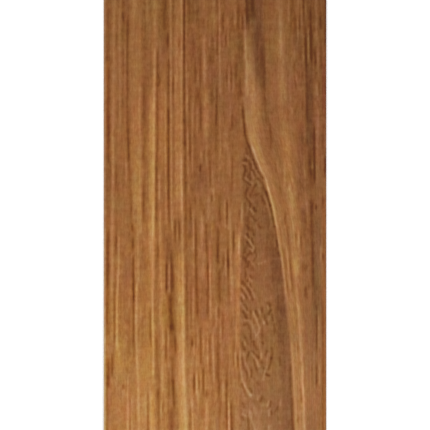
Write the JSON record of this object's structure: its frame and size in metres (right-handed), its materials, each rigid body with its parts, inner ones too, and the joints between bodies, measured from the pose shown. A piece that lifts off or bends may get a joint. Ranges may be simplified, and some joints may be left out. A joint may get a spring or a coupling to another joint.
{
  "type": "composite wall panel",
  "caption": "Flat rectangular wood-plastic composite sheet with a teak-look wood-grain face, plain back and eased edges, for lining or cladding a wall.",
  "frame": {"origin": "centre of the back of the sheet, which lies on the floor", "axes": "+Z out of the wood-grain face, +Y along the length and the grain, +X across the width to the right as the face is seen"},
  "size_m": [1.22, 2.44, 0.008],
  "materials": {
    "composite_board": "satin"
  },
  "bodies": {
    "root": {"wall_panel": "composite_board"}
  },
  "joints": []
}
